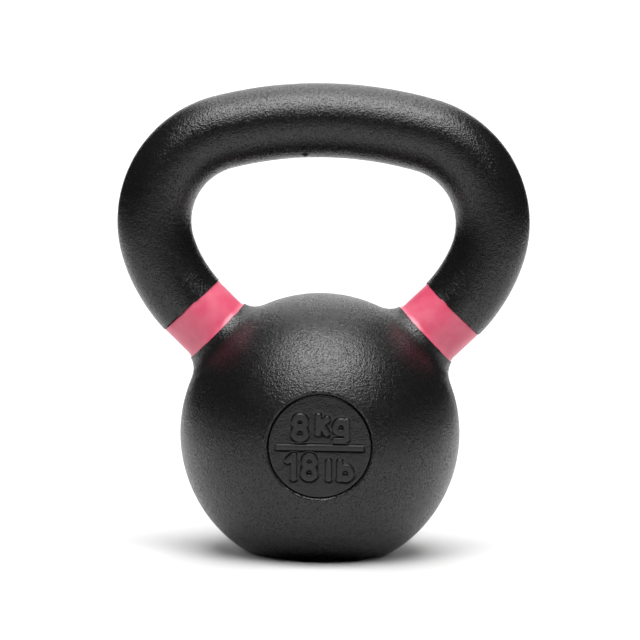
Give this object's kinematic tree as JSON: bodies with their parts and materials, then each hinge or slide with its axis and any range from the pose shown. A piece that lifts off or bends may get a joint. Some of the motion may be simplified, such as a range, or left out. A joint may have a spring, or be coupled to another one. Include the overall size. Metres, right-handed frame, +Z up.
{
  "type": "kettlebell",
  "caption": "Solid cast-iron kettlebell with a flat-based ball, a round-bar handle loop, a painted colour band on each horn and a sunk round weight mark.",
  "frame": {"origin": "centre of the flat round base, on the floor", "axes": "+Z up through the ball's centre to the middle of the grip, X along the handle loop, -Y out of the face with the weight mark"},
  "size_m": [0.1754, 0.1152, 0.1999],
  "materials": {
    "black_coat": "satin",
    "band_enamel": "satin"
  },
  "bodies": {
    "root": {"ball": "black_coat", "handle": "black_coat", "right_band": "band_enamel", "left_band": "band_enamel", "weight_mark": "black_coat"}
  },
  "joints": []
}
